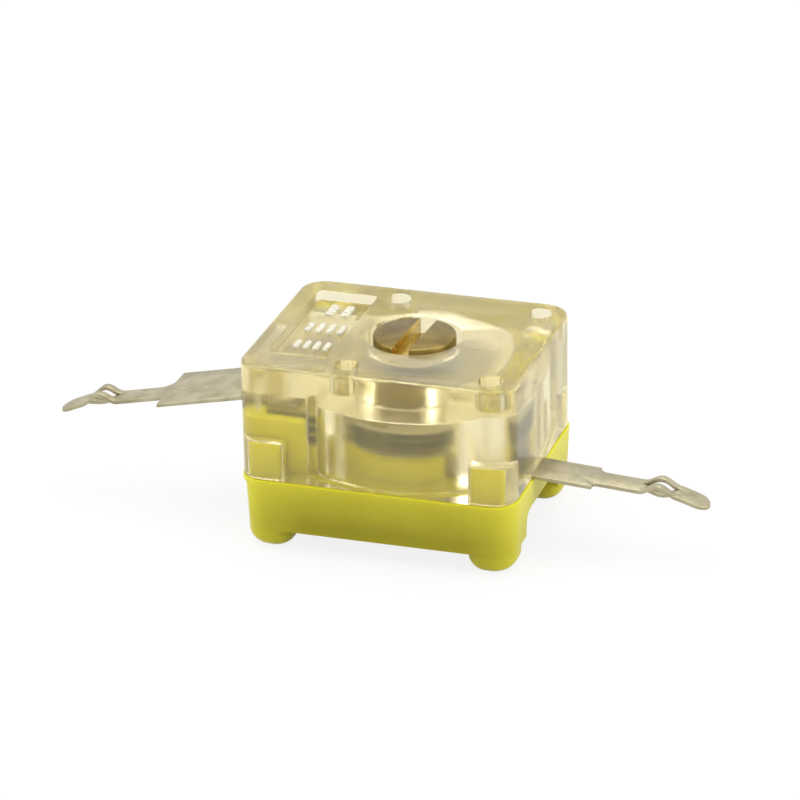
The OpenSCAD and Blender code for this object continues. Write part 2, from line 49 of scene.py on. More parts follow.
# Heights above the underside of the feet
Z_UNDER = 0.80           # underside of the base
Z_SPUN = (1.44, 1.66)    # spun-over end of the spindle
Z_TUNNEL = 1.85          # ceiling of the tunnel across the underside
Z_PART = 2.90            # parting line between base and cover
Z_THRUST = 3.89          # underside of the thrust washer
Z_STACK = 4.00           # underside of the lowest vane
Z_TOWER = 5.05           # top of the wall round the stator pins
Z_LAST_VANE = 5.07       # top of the highest rotor vane
Z_STACK_TOP = 5.26       # top of the highest vane
Z_FLANGE = 5.32          # underside of the spindle's flange
Z_NECK = 5.48            # top of that flange
Z_HEAD_LOW = 5.62        # underside of the slotted head
Z_ROOF = 5.75            # ceiling of the plate chamber
Z_BAY_ROOF = 6.08        # ceiling of the bay beside it
Z_TOP = 7.60             # top face of the cover
Z_HEAD = 7.68            # top of the slotted head

# Gaps
CUT = 0.5                # overrun of a cut past the face that it opens
SEAM = 0.02              # air between the base and the cover that lies on it
FIT = 0.05               # free gap between base features and their pockets in the cover
HAIR = 0.004             # step that keeps two faces out of one plane

# Cover
BODY_X = -0.35                          # middle of the cover along X
BODY_W, BODY_D = 10.80, 8.80
CORNER_R = 1.0
TOP_EDGE = 0.18                         # rounding of the top edges
X_LEFT, X_RIGHT = BODY_X - BODY_W / 2, BODY_X + BODY_W / 2
Y_SIDE = BODY_D / 2
CHAMBER_R = 3.80                        # chamber of the plates
HOLE_R = 1.84                           # hole round the head
BAY_X, BAY_Y, BAY_R = (-5.40, -3.15), 2.95, 0.15        # bay of the stator pins
NECK_X, NECK_Y = (-5.35, -2.905), 2.45  # narrow part of the bay, into the chamber
RECESS_X = (X_LEFT + 0.83, X_LEFT + 3.23)               # marking recess
RECESS_Y = (Y_SIDE - 7.20, Y_SIDE - 1.10)
RECESS_DEPTH, RECESS_R = 0.40, 0.15
PIT_R, PIT_DEPTH = 0.48, 1.0            # four round pits in the roof
PIT_X, PIT_Y = (-1.67, 3.98), 3.33
GATE_R, GATE_DEPTH, GATE_OFFSET = 0.65, 0.12, 2.6       # gate mark inside the roof
GATE_TURN = math.radians(25)
POCKET_FLOOR, POCKET_RIM = 0.06, 0.04   # roundings of the recess and the pits

# Corner posts of the base, in their pockets in the cover
POST_X_IN, POST_Y_IN = 1.08, 0.88       # centre of each post, in from the walls
POST_W, POST_L, POST_H = 1.30, 0.90, 1.45
POST_EDGE = 0.15

# Tags: middle and width along Y
STATOR_TAG = (-0.38, 3.10)
ROTOR_TAG = (-0.70, 1.70)
SHEET_T = 0.15

# Base
BASE_X = -0.29                          # middle of the base below its rim
RIM_X, RIM_W, RIM_D, RIM_H = -0.335, 10.89, 8.86, 0.25
DRAFT = 0.08                            # of the walls below the rim
FOOT_W = 1.90
FOOT_R = 0.80                           # vertical corners of the feet
FOOT_ROUND = 0.65                       # lower edges of the feet
FOOT_FILLET = 0.15                      # where they meet the underside
FOOT_ROOT = 0.1                         # depth that they reach into the base
TUNNEL_Y, TUNNEL_R = 2.27, 0.4          # half width, and rounding of its upper edges
PLATFORM_R, PLATFORM_ROUND = 3.0, 0.40  # carries the plates
CONTACT_R = 4.32                        # floor in contact with the cover
TOWER_X = (-5.35, -3.20)                # wall round the stator pins, outside
TOWER_Y = (2.45, 2.90)                  # inner and outer face of its end walls
TOWER_IN_X = -5.03                      # inner face of its long wall
BORE_R = 0.78                           # bearing of the spindle
RING_POCKET_R = 1.55                    # pocket of the contact ring

# Spindle and stator pins
HEAD_R = 1.59
SLOT_W, SLOT_DEPTH = 0.68, 0.65
SLOT_TURN = math.radians(-3.6)          # from the Y axis
KEY_W = 1.1                             # across the flats that carry the vanes
JOURNAL_R, SPUN_R, HUB_R, FLANGE_R = 0.75, 0.98, 1.05, 1.28
PIN_X, PIN_Y = -4.38, 1.75
PIN_R, PIN_HEAD_R = 0.30, 0.52


# ---- mesh helpers ------------------------------------------------------------

def smooth(obj, angle=38):
    """Smooth shading with sharp edges where faces meet above an angle."""
    for polygon in obj.data.polygons:
        polygon.use_smooth = True
    obj.data.set_sharp_from_angle(angle=math.radians(angle))
    return obj


def new_object(name, verts, faces):
    """Solid from points in mm, its faces turned outwards."""
    mesh = bpy.data.meshes.new(name)
    mesh.from_pydata([Vector(v) * MM for v in verts], [], faces)
    bm = bmesh.new()
    bm.from_mesh(mesh)
    bmesh.ops.recalc_face_normals(bm, faces=bm.faces)
    bm.to_mesh(mesh)
    bm.free()
    obj = bpy.data.objects.new(name, mesh)
    bpy.context.scene.collection.objects.link(obj)
    return obj


def circle(r, x=0.0, y=0.0, n=128):
    return [(x + r * math.cos(2 * math.pi * i / n), y + r * math.sin(2 * math.pi * i / n))
            for i in range(n)]


def uneven_rect(x0, x1, y0, y1, radii, seg=10):
    """Rectangle with its own radius at each corner, from (+, +) round to (+, -)."""
    corners = ((x1, y1, 1, 1), (x0, y1, -1, 1), (x0, y0, -1, -1), (x1, y0, 1, -1))
    out = []
    for k, ((x, y, sx, sy), r) in enumerate(zip(corners, radii)):
        for i in range(seg + 1):
            a = math.pi / 2 * (k + i / seg)
            out.append((x - sx * r + r * math.cos(a), y - sy * r + r * math.sin(a)))
    return out


def rounded_rect(w, d, r, x):
    """Rounded rectangle about (x, 0)."""
    return uneven_rect(x - w / 2, x + w / 2, -d / 2, d / 2, [r] * 4, seg=16)


def rect_between(x0, x1, y0, y1, r, grow=0.0, seg=4):
    """Rounded rectangle between two corners, grown by the same amount all round."""
    least_r = 0.005
    return uneven_rect(x0 - grow, x1 + grow, y0 - grow, y1 + grow,
                       [max(r + grow, least_r)] * 4, seg)


def loft(name, rings):
    """Closed solid through rings of (height, outline), all of one point count."""
    n = len(rings[0][1])
    verts = [(x, y, z) for z, ring in rings for x, y in ring]
    faces = [tuple(range(n))]
    for k in range(len(rings) - 1):
        faces += [(k * n + i, k * n + (i + 1) % n, (k + 1) * n + (i + 1) % n, (k + 1) * n + i)
                  for i in range(n)]
    faces.append(tuple(range((len(rings) - 1) * n, len(rings) * n)))
    return new_object(name, verts, faces)


def column(outline, z0, z1):
    """Straight upright solid of one outline."""
    return loft("column", [(z, outline) for z in (z0, z1)])


def bar_along_x(profile, x0, x1):
    """Solid of one outline, (y, z), run along X."""
    n = len(profile)
    verts = [(x, y, z) for x in (x0, x1) for y, z in profile]
    faces = [(i, (i + 1) % n, n + (i + 1) % n, n + i) for i in range(n)]
    faces += [tuple(range(n)), tuple(range(n, 2 * n))]
    return new_object("bar", verts, faces)


def quarter(steps=5):
    """(sine, 1 - cosine) pairs over a quarter turn, for rounded edges."""
    return [(math.sin(math.pi / 2 * i / steps), 1 - math.cos(math.pi / 2 * i / steps))
            for i in range(steps + 1)]


def pad(outline, z0, z1, edge, steps=4):
    """Upright block whose top edge is rounded; outline(grow) gives its plan."""
    rings = [(z0, outline(0.0))]
    rings += [(z1 - edge + edge * s, outline(-edge * c)) for s, c in quarter(steps)]
    return loft("pad", rings)


def top_pocket(outline, depth):
    """Cutter for a blind pocket in the cover's top face, rounded at its floor and rim."""
    low = Z_TOP - depth
    rings = [(low + POCKET_FLOOR * c, outline(-POCKET_FLOOR * (1 - s))) for s, c in quarter(3)]
    rings += [(Z_TOP - POCKET_RIM * (1 - s), outline(POCKET_RIM * c)) for s, c in quarter(4)]
    rings.append((Z_TOP + CUT, outline(POCKET_RIM)))
    return loft("pocket", rings)


def bake(obj):
    """Applies the modifiers of an object."""
    graph = bpy.context.evaluated_depsgraph_get()
    mesh = bpy.data.meshes.new_from_object(obj.evaluated_get(graph))
    obj.modifiers.clear()
    obj.data = mesh
    return obj


def combine(obj, others, operation):
    """Joins the other solids to obj, or cuts them out of it, one by one."""
    for other in others:
        mod = obj.modifiers.new("combine", "BOOLEAN")
        mod.operation = operation
        mod.object = other
        mod.solver = "EXACT"
        bake(obj)
        bpy.data.objects.remove(other)
    return obj


def bevel(obj, width, angle):
    """Rounds the edges where faces meet above an angle."""
    mod = obj.modifiers.new("bevel", "BEVEL")
    mod.width = width * MM
    mod.segments = 2
    mod.limit_method = "ANGLE"
    mod.angle_limit = math.radians(angle)
    return obj


def tidy(obj):
    """Merges doubled points and drops needless edges in flat faces."""
    bm = bmesh.new()
    bm.from_mesh(obj.data)
    bmesh.ops.remove_doubles(bm, verts=bm.verts, dist=0.0005 * MM)
    bmesh.ops.dissolve_limit(bm, angle_limit=math.radians(0.5), verts=bm.verts, edges=bm.edges)
    bm.to_mesh(obj.data)
    bm.free()
    return obj


def copy_of(name, node):
    """A new piece with the form of a CAD node."""
    obj = bpy.data.objects.new(name, frame["nodes"][node].data.copy())
    bpy.context.scene.collection.objects.link(obj)
    return obj


def place(obj, body, material, replaced=()):
    """Gives a piece its body and material, and hides the CAD nodes that it replaces."""
    obj.data.materials.clear()
    obj.data.materials.append(material)
    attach(obj, body)
    if replaced:
        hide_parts(*replaced)
    return obj


# ---- materials -----------------------------------------------------------------

class Nodes:
    """Short ways to build one material's node tree."""

    def __init__(self, name, **sockets):
        self.material = bpy.data.materials.new(name)
        self.material.use_nodes = True
        self.tree = self.material.node_tree
        self.shader = self.tree.nodes["Principled BSDF"]
        self.output = self.tree.nodes["Material Output"]
        for socket, value in sockets.items():
            self.shader.inputs[socket.replace("_", " ")].default_value = value
        coordinates = self.add("ShaderNodeTexCoord")
        self.mm = self.scaled(coordinates.outputs["Object"], 1 / MM, 1 / MM, 1 / MM)

    def add(self, kind):
        return self.tree.nodes.new(kind)

    def link(self, a, b):
        self.tree.links.new(a, b)

    def scaled(self, vector, x, y, z):
        node = self.add("ShaderNodeMapping")
        node.inputs["Scale"].default_value = (x, y, z)
        self.link(vector, node.inputs["Vector"])
        return node.outputs["Vector"]

    def axes(self):
        """Object coordinates in mm, one output for each axis."""
        node = self.add("ShaderNodeSeparateXYZ")
        self.link(self.mm, node.inputs[0])
        return node.outputs

    def compute(self, operation, *values):
        node = self.add("ShaderNodeMath")
        node.operation = operation
        for value, socket in zip(values, node.inputs):
            self.link(value, socket)
        return node.outputs[0]

    def noise(self, scale, detail=3.0, stretch=(1, 1, 1)):
        node = self.add("ShaderNodeTexNoise")
        node.inputs["Scale"].default_value = scale
        node.inputs["Detail"].default_value = detail
        vector = self.mm if stretch == (1, 1, 1) else self.scaled(self.mm, *stretch)
        self.link(vector, node.inputs["Vector"])
        return node.outputs["Fac"]

    def specks(self, scale, size):
        """1 in sparse small spots, 0 between them."""
        node = self.add("ShaderNodeTexVoronoi")
        node.inputs["Scale"].default_value = scale
        node.inputs["Randomness"].default_value = 1.0
        self.link(self.mm, node.inputs["Vector"])
        return self.ranged(node.outputs["Distance"], size, size * 0.6, 0.0, 1.0)

    def rings(self, scale):
        """Turning marks round the Z axis."""
        node = self.add("ShaderNodeTexWave")
        node.wave_type = "RINGS"
        node.rings_direction = "Z"
        node.inputs["Scale"].default_value = scale
        node.inputs["Distortion"].default_value = 0.3
        node.inputs["Detail"].default_value = 3.0
        self.link(self.mm, node.inputs["Vector"])
        return node.outputs["Fac"]

    def ranged(self, value, low, high, to_low, to_high):
        node = self.add("ShaderNodeMapRange")
        node.inputs["From Min"].default_value = low
        node.inputs["From Max"].default_value = high
        node.inputs["To Min"].default_value = to_low
        node.inputs["To Max"].default_value = to_high
        self.link(value, node.inputs["Value"])
        return node.outputs["Result"]

    def cloud(self, scale, detail=3.0):
        """Soft patches of 0 and 1."""
        return self.ranged(self.noise(scale, detail), 0.35, 0.65, 0, 1)

    def uneven(self, scale, detail, low, high):
        """A value that wanders between low and high over the surface."""
        return self.ranged(self.noise(scale, detail), 0.3, 0.7, low, high)

    def mix(self, fac, a, b):
        """Mixes two colours, each of them a colour or a colour socket."""
        node = self.add("ShaderNodeMix")
        node.data_type = "RGBA"
        self.link(fac, node.inputs["Factor"])
        for socket, value in zip([s for s in node.inputs if s.type == "RGBA"], (a, b)):
            if isinstance(value, tuple):
                socket.default_value = (*value, 1.0)
            else:
                self.link(value, socket)
        return [s for s in node.outputs if s.type == "RGBA"][0]

    def bump(self, height, strength, distance, after=None):
        """Adds relief, its depth in mm, to the relief before it."""
        node = self.add("ShaderNodeBump")
        node.inputs["Strength"].default_value = strength
        node.inputs["Distance"].default_value = distance * MM
        self.link(height, node.inputs["Height"])
        if after is not None:
            self.link(after, node.inputs["Normal"])
        return node.outputs["Normal"]

    def finish(self, colour, roughness, normal):
        self.link(colour, self.shader.inputs["Base Color"])
        self.link(roughness, self.shader.inputs["Roughness"])
        self.link(normal, self.shader.inputs["Normal"])
        return self.material


def yellow_plastic():
    """Translucent moulding, clean under the cover, with painted shade that darkens its outer walls
    towards the underside, painted light on its feet and ends, and under the cover a lighter yellow
    that is painted darker towards the floor.
    """
    n = Nodes("yellow_plastic", Subsurface_Weight=0.35, Subsurface_Scale=0.7 * MM,
              Subsurface_Radius=(1.0, 0.85, 0.15), IOR=1.46, Specular_IOR_Level=0.12,
              Specular_Tint=(1.0, 0.93, 0.45, 1.0))
    place_mm = n.axes()
    x, z = place_mm["X"], place_mm["Z"]
    seam = (Z_PART - 0.05, Z_PART + 0.05)
    cloud = n.cloud(0.5)
    # Painted shade: the outer walls are painted darker from the parting line down to the
    # underside, as if lit from above
    lit_upper = n.mix(cloud, (0.52, 0.47, 0.036), (0.56, 0.515, 0.044))
    shaded_lower = n.mix(cloud, (0.235, 0.21, 0.019), (0.265, 0.235, 0.023))
    outside = n.mix(n.ranged(z, Z_UNDER, Z_PART, 0, 1), shaded_lower, lit_upper)
    # Painted light: the feet are painted lighter again, as their rounded faces catch more light
    outside = n.mix(n.ranged(z, 0.1, 1.3, 1, 0), outside, (0.44, 0.39, 0.025))
    # Painted light: the ends are painted lighter, where light comes through from three sides
    painted_end_light = n.ranged(n.compute("ABSOLUTE", x), 3.2, 5.4, 0, 0.55)
    outside = n.mix(painted_end_light, outside, (0.68, 0.64, 0.06))
    # Painted light and shade under the cover: a lighter, deeper yellow where less light reaches,
    # painted darker towards the floor, but not in its window at the stator tag
    inside = n.mix(n.ranged(z, Z_PART, 4.1, 0, 1), (0.76, 0.725, 0.008), (0.95, 0.91, 0.006))
    inside = n.mix(n.ranged(x, -5.6, -5.5, 0, 1), outside, inside)
    colour = n.mix(n.ranged(z, *seam, 0, 1), outside, inside)
    colour = n.mix(n.specks(2.6, 0.05), colour, (0.30, 0.26, 0.03))
    normal = n.bump(n.noise(1.2, 4, (0.5, 0.5, 3.0)), 0.2, 0.010)
    normal = n.bump(n.noise(22), 0.2, 0.003, normal)
    roughness = n.compute("ADD", n.uneven(3.0, 4, 0.0, 0.12), n.ranged(z, *seam, 0.28, 0.16))
    return n.finish(colour, roughness, normal)


def clear_plastic():
    """Clear moulding, aged to a slight cream haze."""
    n = Nodes("clear_plastic", Transmission_Weight=0.94, IOR=1.58,
              Specular_Tint=(1.0, 0.92, 0.45, 1.0))
    colour = n.mix(n.cloud(0.5), (0.98, 0.915, 0.68), (0.99, 0.94, 0.75))
    normal = n.bump(n.noise(0.7, 2), 0.12, 0.03)
    normal = n.bump(n.noise(9), 0.10, 0.003, normal)
    depth = n.add("ShaderNodeVolumeAbsorption")
    depth.inputs["Color"].default_value = (0.93, 0.79, 0.05, 1.0)
    depth.inputs["Density"].default_value = 68.0
    n.link(depth.outputs["Volume"], n.output.inputs["Volume"])
    return n.finish(colour, n.uneven(2.2, 4, 0.14, 0.23), normal)


def frosted_plastic():
    """The same moulding where it is roughened, on the raised marks."""
    n = Nodes("frosted_plastic", Transmission_Weight=0.55, IOR=1.58)
    grain = n.cloud(6, 4)
    colour = n.mix(grain, (0.93, 0.90, 0.72), (0.99, 0.97, 0.88))
    return n.finish(colour, n.ranged(grain, 0, 1, 0.25, 0.4), n.bump(n.noise(14), 0.3, 0.006))


def brass(name="brass", dark=(0.18, 0.126, 0.036), light=(0.295, 0.218, 0.066)):
    """Turned metal, tarnished in patches."""
    n = Nodes(name, Metallic=1.0)
    colour = n.mix(n.cloud(1.1, 5), dark, light)
    colour = n.mix(n.specks(3.5, 0.09), colour, (0.18, 0.13, 0.06))
    normal = n.bump(n.rings(3.2), 0.35, 0.006)
    normal = n.bump(n.noise(16, 4), 0.3, 0.004, normal)
    return n.finish(colour, n.uneven(4.0, 4, 0.30, 0.46), normal)


def cut_brass():
    """Bright brass of the slot, streaked along the cut."""
    n = Nodes("cut_brass", Metallic=1.0)
    streak = n.noise(6, 4, (3.0, 0.15, 3.0))
    colour = n.mix(n.ranged(streak, 0.35, 0.65, 0, 1), (0.56, 0.42, 0.13), (0.74, 0.60, 0.24))
    return n.finish(colour, n.uneven(5, 3, 0.22, 0.36), n.bump(streak, 0.4, 0.005))


def sheet_metal(name, dark, light, roughness, metallic=1.0):
    """Rolled metal with a faint grain along X and darker spots."""
    n = Nodes(name, Metallic=metallic)
    colour = n.mix(n.cloud(1.4, 5), dark, light)
    colour = n.mix(n.specks(3.0, 0.10), colour, tuple(v * 0.55 for v in dark))
    normal = n.bump(n.noise(7, 4, (0.35, 2.5, 2.5)), 0.22, 0.004)
    normal = n.bump(n.noise(3.0), 0.25, 0.010, normal)
    return n.finish(colour, n.uneven(5, 4, *roughness), normal)


def film(name, clear, ior, thin, thick):
    """Translucent plastic sheet."""
    n = Nodes(name, Transmission_Weight=clear, IOR=ior)
    colour = n.mix(n.cloud(0.8), thin, thick)
    return n.finish(colour, n.uneven(3, 3, 0.04, 0.14), n.bump(n.noise(2.0), 0.2, 0.006))


# ---- parts of base and cover that fit each other ---------------------------------

def posts():
    """Centre of each corner post."""
    return [(x, y) for x in (X_LEFT + POST_X_IN, X_RIGHT - POST_X_IN)
            for y in (POST_Y_IN - Y_SIDE, Y_SIDE - POST_Y_IN)]


def tag_lane(x0, x1, tag, gap, r, grow=0.0):
    """Strip of the plan along X, as wide as a tag with a gap on both sides."""
    y, width = tag
    half = width / 2 + gap
    return rect_between(x0, x1, y - half, y + half, r, grow)


# ---- cover ---------------------------------------------------------------------

def cover_outline(grow):
    return rounded_rect(BODY_W + 2 * grow, BODY_D + 2 * grow, CORNER_R + grow, BODY_X)


def post_pocket(x, y):
    """Cutter for the pocket of one post, its rim broken and its top eased."""
    w, d, r = POST_W / 2 + FIT, POST_L / 2 + FIT, 0.2
    top = Z_PART + POST_H + FIT
    rim, ease, corner = 0.04, 0.12, 0.035
    rings = ((Z_PART - CUT, rim), (Z_PART + SEAM, rim), (Z_PART + SEAM + rim, 0.0),
             (top - ease, 0.0), (top - corner, -corner), (top, -ease))
    return loft("pocket", [(z, rect_between(x - w, x + w, y - d, y + d, r, grow))
                           for z, grow in rings])


def cover_cutters():
    """Solids that hollow out the cover."""
    low, seam_z = Z_PART - CUT, Z_PART + SEAM
    edge = 0.06
    rings = [(low, circle(CHAMBER_R + edge)), (seam_z, circle(CHAMBER_R + edge)),
             (seam_z + edge, circle(CHAMBER_R))]
    rings += [(Z_ROOF - edge + edge * s, circle(CHAMBER_R - edge * c)) for s, c in quarter()]
    yield loft("chamber", rings)
    yield column(rect_between(*BAY_X, -BAY_Y, BAY_Y, BAY_R), low, Z_BAY_ROOF)
    yield column(rect_between(*NECK_X, -NECK_Y, NECK_Y, 0.02), low, Z_BAY_ROOF - HAIR)
    edge, bend = 0.05, 0.015
    rings = ((Z_ROOF - CUT, edge), (Z_ROOF, edge), (Z_ROOF + edge, 0.0), (Z_TOP - edge, 0.0),
             (Z_TOP - bend, bend), (Z_TOP, edge), (Z_TOP + CUT, edge))
    yield loft("hole", [(z, circle(HOLE_R + grow)) for z, grow in rings])
    for x, y in posts():
        yield post_pocket(x, y)
    yield column(tag_lane(X_LEFT - CUT, BAY_X[0] + CUT, STATOR_TAG, FIT, 0.02),
                 low, Z_STACK_TOP + SHEET_T + FIT)
    yield column(tag_lane(0, X_RIGHT + CUT, ROTOR_TAG, FIT, 0.02), low, Z_PART + SHEET_T + FIT)
    yield top_pocket(lambda grow: rect_between(*RECESS_X, *RECESS_Y, RECESS_R, grow),
                     RECESS_DEPTH)
    for x in PIT_X:
        for y in (-PIT_Y, PIT_Y):
            yield top_pocket(lambda grow: circle(PIT_R + grow, x, y, 48), PIT_DEPTH)
    gate = circle(GATE_R, GATE_OFFSET * math.cos(GATE_TURN), GATE_OFFSET * math.sin(GATE_TURN), 64)
    yield column(gate, Z_ROOF - CUT, Z_ROOF + GATE_DEPTH)


def make_cover(material):
    """Clear cover, hollow inside, with its roof open round the head."""
    low, edge = Z_PART + SEAM, 0.03
    rings = [(low, cover_outline(-edge)), (low + edge, cover_outline(0.0))]
    rings += [(Z_TOP - TOP_EDGE + TOP_EDGE * s, cover_outline(-TOP_EDGE * c))
              for s, c in quarter()]
    cover = combine(loft("clear_cover", rings), cover_cutters(), "DIFFERENCE")
    smooth(tidy(cover))
    place(cover, "housing", material, ["cover"])


# ---- base ----------------------------------------------------------------------

def wall_outline(inset):
    """Outline of the base's outer wall, drawn in from the cover's size."""
    return rounded_rect(BODY_W - 2 * inset, BODY_D - 2 * inset, CORNER_R - inset, BASE_X)


def rim_outline(grow):
    return rounded_rect(RIM_W + 2 * grow, RIM_D + 2 * grow, CORNER_R + grow, RIM_X)


def foot_outline(sx, sy, inset, flare):
    """Plan of one foot: a wide outer corner, and three smaller ones."""
    x_out = BASE_X + sx * (BODY_W / 2 - DRAFT - inset)
    x_in = BASE_X + sx * (BODY_W / 2 - DRAFT - FOOT_W + inset - flare)
    y_out = sy * (BODY_D / 2 - DRAFT - inset)
    y_in = sy * (TUNNEL_Y + inset)
    radii = [CORNER_R - DRAFT - inset if corner == (sx, sy) else FOOT_R - inset
             for corner in ((1, 1), (-1, 1), (-1, -1), (1, -1))]
    return uneven_rect(min(x_out, x_in), max(x_out, x_in), min(y_out, y_in), max(y_out, y_in),
                       radii)


def make_foot(sx, sy):
    """Foot with rounded lower edges and a fillet where it meets the underside."""
    rings = [(FOOT_ROUND * c, FOOT_ROUND * (1 - s), 0.0) for s, c in quarter(8)]
    rings += [(Z_UNDER - FOOT_FILLET * (1 - s), 0.0, FOOT_FILLET * c) for s, c in quarter(5)]
    rings.append((Z_UNDER + FOOT_ROOT, 0.0, FOOT_FILLET))
    return loft("foot", [(z, foot_outline(sx, sy, inset + HAIR, flare))
                         for z, inset, flare in rings])


def tunnel_profile():
    """Outline of the tunnel across the underside, rounded above."""
    left = [(-TUNNEL_Y, -CUT)] + [(TUNNEL_R * c - TUNNEL_Y, Z_TUNNEL - TUNNEL_R + TUNNEL_R * s)
                                  for s, c in quarter(6)]
    return left + [(-y, z) for y, z in reversed(left)]


def base_additions():
    """Solids that stand on the base, inside the cover."""
    # Depth of their roots in the base; solids that overlap take different shares of it
    root = 0.2
    # Raised floor of the chamber, pressed against the underside of the cover
    yield column(circle(CONTACT_R), Z_PART - root * 0.7, Z_PART + SEAM + 2 * HAIR)
    yield pad(lambda grow: circle(PLATFORM_R + grow), Z_PART - root, Z_STACK, PLATFORM_ROUND, 8)
    w, d = POST_W / 2, POST_L / 2
    for x, y in posts():
        yield pad(lambda grow: rect_between(x - w, x + w, y - d, y + d, 0.18, grow),
                  Z_PART - root, Z_PART + POST_H, POST_EDGE, 6)
    # Wall round the stator pins, hollowed down to the floor under the vane tabs
    tower = pad(lambda grow: rect_between(*TOWER_X, -TOWER_Y[1], TOWER_Y[1], 0.1, grow),
                Z_PART - root, Z_TOWER, 0.05)
    hollow = column(rect_between(TOWER_IN_X, TOWER_X[1] + CUT, -TOWER_Y[0], TOWER_Y[0], 0.08),
                    Z_STACK - HAIR, Z_TOWER + CUT)
    yield combine(tower, [hollow], "DIFFERENCE")
    # Block that fills the cover's window under the stator tag
    yield pad(lambda grow: tag_lane(X_LEFT + FIT, TOWER_IN_X - 0.1, STATOR_TAG, 0, 0.06, grow),
              Z_PART - root * 0.9, Z_TOWER - 0.003, 0.05)
    # Bridge from the tower to the platform
    neck_y = NECK_Y - 0.1
    yield pad(lambda grow: rect_between(TOWER_X[1] - 0.4, -1.5, -neck_y, neck_y, 0.04, grow),
              Z_PART - root * 0.8, Z_STACK - 0.01, 0.03)


def base_cutters():
    """Solids that open the tunnel, the bearing and the contact pocket."""
    past_ends = 7.0
    yield bar_along_x(tunnel_profile(), -past_ends, past_ends)
    yield column(circle(BORE_R, n=64), 0, Z_TOP)
    yield column(circle(RING_POCKET_R, n=96), Z_PART, Z_TOP)
    yield column(tag_lane(0, CONTACT_R + CUT, ROTOR_TAG, 0.1, 0.04), Z_PART + 0.003, Z_TOP)


def make_base(material):
    """Yellow base on four feet, with all that it carries inside the cover."""
    edge = 0.06
    insets = ((Z_UNDER, DRAFT + edge), (Z_UNDER + 0.02, DRAFT + 0.02), (Z_UNDER + edge, DRAFT),
              (Z_UNDER + RIM_H, DRAFT), (Z_PART - RIM_H - 0.02, 0.0))
    rings = [(z, wall_outline(inset)) for z, inset in insets]
    edge = 0.03
    rings += [(Z_PART - RIM_H + 0.04, rim_outline(0.0)), (Z_PART - edge, rim_outline(0.0)),
              (Z_PART, rim_outline(-edge))]
    base = combine(loft("moulded_base", rings), base_additions(), "UNION")
    combine(base, base_cutters(), "DIFFERENCE")
    combine(base, [make_foot(sx, sy) for sx in (-1, 1) for sy in (-1, 1)], "UNION")
    smooth(tidy(base))
    place(base, "housing", material, ["base"])


# ---- rotor, pins and tags ----------------------------------------------------------

def spindle_profile():
    """(height, radius) points of the turned spindle, from the spun-over end up."""
    low, high = Z_SPUN
    edge, head_edge = 0.03, 0.04
    spun = [(low, SPUN_R - 0.08), (low + 0.06, SPUN_R), (high, SPUN_R)]
    journal = [(z, JOURNAL_R) for z in (high, Z_THRUST, Z_LAST_VANE)]
    hub = [(Z_LAST_VANE, HUB_R), (Z_FLANGE, HUB_R)]
    flange = [(Z_FLANGE, FLANGE_R - edge), (Z_FLANGE + edge, FLANGE_R),
              (Z_NECK - edge, FLANGE_R), (Z_NECK, FLANGE_R - edge)]
    neck = [(Z_NECK, HUB_R), (Z_HEAD_LOW, HUB_R)]
    head = [(Z_HEAD_LOW, HEAD_R - head_edge), (Z_HEAD_LOW + head_edge, HEAD_R),
            (Z_HEAD - 0.07, HEAD_R), (Z_HEAD - 0.02, HEAD_R - 0.02), (Z_HEAD, HEAD_R - 0.07)]
    return spun + journal + hub + flange + neck + head


def make_rotor(material, bright):
    """Turned spindle with its slotted head; the cut faces of the slot are brighter."""
    rotor = loft("slotted_rotor", [(z, circle(r)) for z, r in spindle_profile()])
    half_key, half_slot = KEY_W / 2, SLOT_W / 2
    flats = [column(rect_between(*x_range, -2, 2, 0.01), Z_THRUST, Z_LAST_VANE)
             for x_range in ((-1.5, -half_key), (half_key, 1.5))]
    slot = column(rect_between(-half_slot, half_slot, -3, 3, 0.01),
                  Z_HEAD - SLOT_DEPTH, Z_HEAD + CUT)
    slot.data.transform(Matrix.Rotation(SLOT_TURN, 4, "Z"))
    tidy(combine(rotor, flats + [slot], "DIFFERENCE"))
    smooth(bake(bevel(rotor, 0.035, 55)))
    place(rotor, "rotor", material, ["rotor_spindle"])
    rotor.data.materials.append(bright)
    margin = 0.02
    for face in rotor.data.polygons:
        c = face.center / MM
        across = c.x * math.cos(SLOT_TURN) + c.y * math.sin(SLOT_TURN)
        if abs(across) < half_slot + margin and c.z > Z_HEAD - SLOT_DEPTH - margin:
            face.material_index = 1


def make_pin(name, y, material, node):
    """Stator pin with a hammered, domed head."""
    tag_top, foot_edge = Z_STACK_TOP + SHEET_T, 0.02
    profile = [(Z_STACK, PIN_R - foot_edge), (Z_STACK + foot_edge, PIN_R),
               (tag_top - 0.01, PIN_R)]
    # Rise of the head over the tag, and how far it is in from its full radius
    dome = ((-0.01, 0.05), (0.02, 0.0), (0.10, 0.0), (0.18, 0.06), (0.24, 0.16), (0.28, 0.30),
            (0.295, 0.44))
    profile += [(tag_top + rise, PIN_HEAD_R - inset) for rise, inset in dome]
    pin = loft(name, [(z, circle(r, PIN_X, y, 48)) for z, r in profile])
    for v in pin.data.vertices:
        if v.co.z > (tag_top + 0.05) * MM:
            a = math.atan2(v.co.y - y * MM, v.co.x - PIN_X * MM)
            v.co.z -= (0.03 + 0.02 * math.sin(3 * a + y)) * MM
    smooth(pin, 50)
    place(pin, "housing", material, [node])


def make_tag(name, node, material):
    """Stamped tag: the CAD form with its edges broken."""
    tag = tidy(copy_of(name, node))
    smooth(bake(bevel(tag, 0.018, 50)), 30)
    place(tag, "housing", material, [node])


# ---- marking recess ----------------------------------------------------------------

